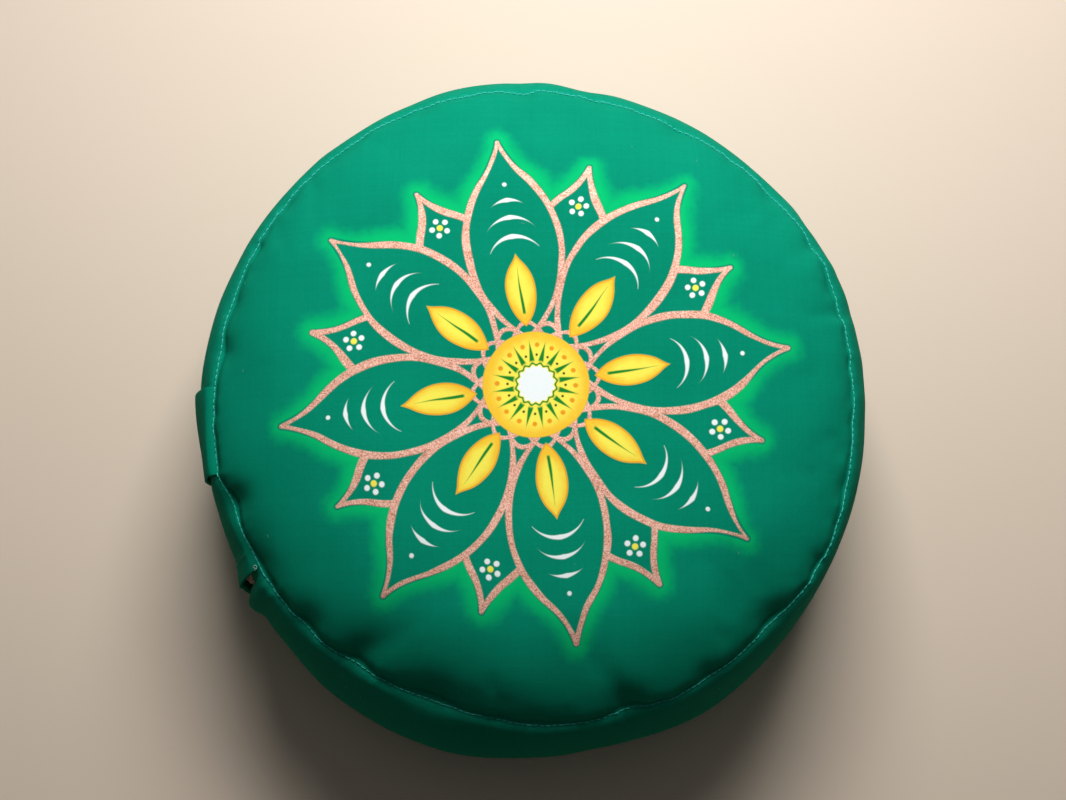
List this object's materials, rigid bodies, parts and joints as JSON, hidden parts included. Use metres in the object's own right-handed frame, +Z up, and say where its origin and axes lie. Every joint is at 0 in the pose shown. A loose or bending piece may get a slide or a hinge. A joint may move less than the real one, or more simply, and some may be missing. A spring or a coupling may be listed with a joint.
{
  "type": "zafu meditation cushion",
  "caption": "Low round filled floor cushion with a crowned top, puckered seams, a carrying strap and a lapped closure on its band.",
  "frame": {"origin": "on the floor, under the middle of the cushion", "axes": "+Z up through the crown; the carrying strap is on the -X side, and the closure is between it and -Y"},
  "size_m": [0.3548, 0.3595, 0.152],
  "materials": {
    "cotton_body": "emerald green plain-weave cotton, matt, with a painted rosette on the top panel",
    "cotton_strap": "emerald green plain-weave cotton, doubled",
    "cotton_lap": "emerald green plain-weave cotton with a turned hem",
    "thread": "pale teal sewing thread",
    "inner_cloth": "dark brown inner cloth, seen only in the mouth of the closure"
  },
  "bodies": {
    "root": {"cushion": "cotton_body", "carry_strap": "cotton_strap", "closure_lap": "cotton_lap"}
  },
  "joints": []
}
